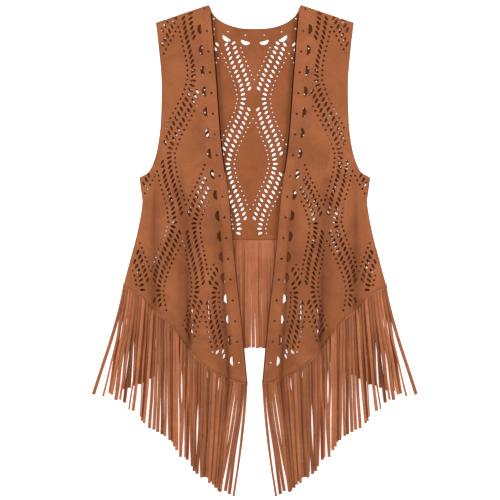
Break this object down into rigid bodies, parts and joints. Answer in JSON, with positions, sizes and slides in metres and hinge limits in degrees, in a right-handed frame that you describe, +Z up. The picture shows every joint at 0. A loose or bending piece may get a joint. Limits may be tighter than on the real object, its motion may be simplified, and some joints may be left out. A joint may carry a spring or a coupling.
{
  "type": "western vest, laid flat",
  "caption": "Open-front sleeveless suede western vest with lattice cut-outs, half-moon borders and long strip fringe, laid flat.",
  "frame": {"origin": "bottom centre of the whole vest's box, on the surface that it lies on", "axes": "+Y from the hem to the shoulders, +X to the wearer's left side as seen from above, +Z up from the surface"},
  "size_m": [0.5888, 0.906, 0.0166],
  "materials": {
    "suede_front": "napped matte",
    "suede_back": "napped matte",
    "suede_fringe": "napped matte"
  },
  "bodies": {
    "root": {"back_panel": "suede_back", "back_fringe": "suede_fringe", "front_panel_left": "suede_front", "front_panel_right": "suede_front", "front_fringe_left": "suede_fringe", "front_fringe_right": "suede_fringe"}
  },
  "joints": []
}
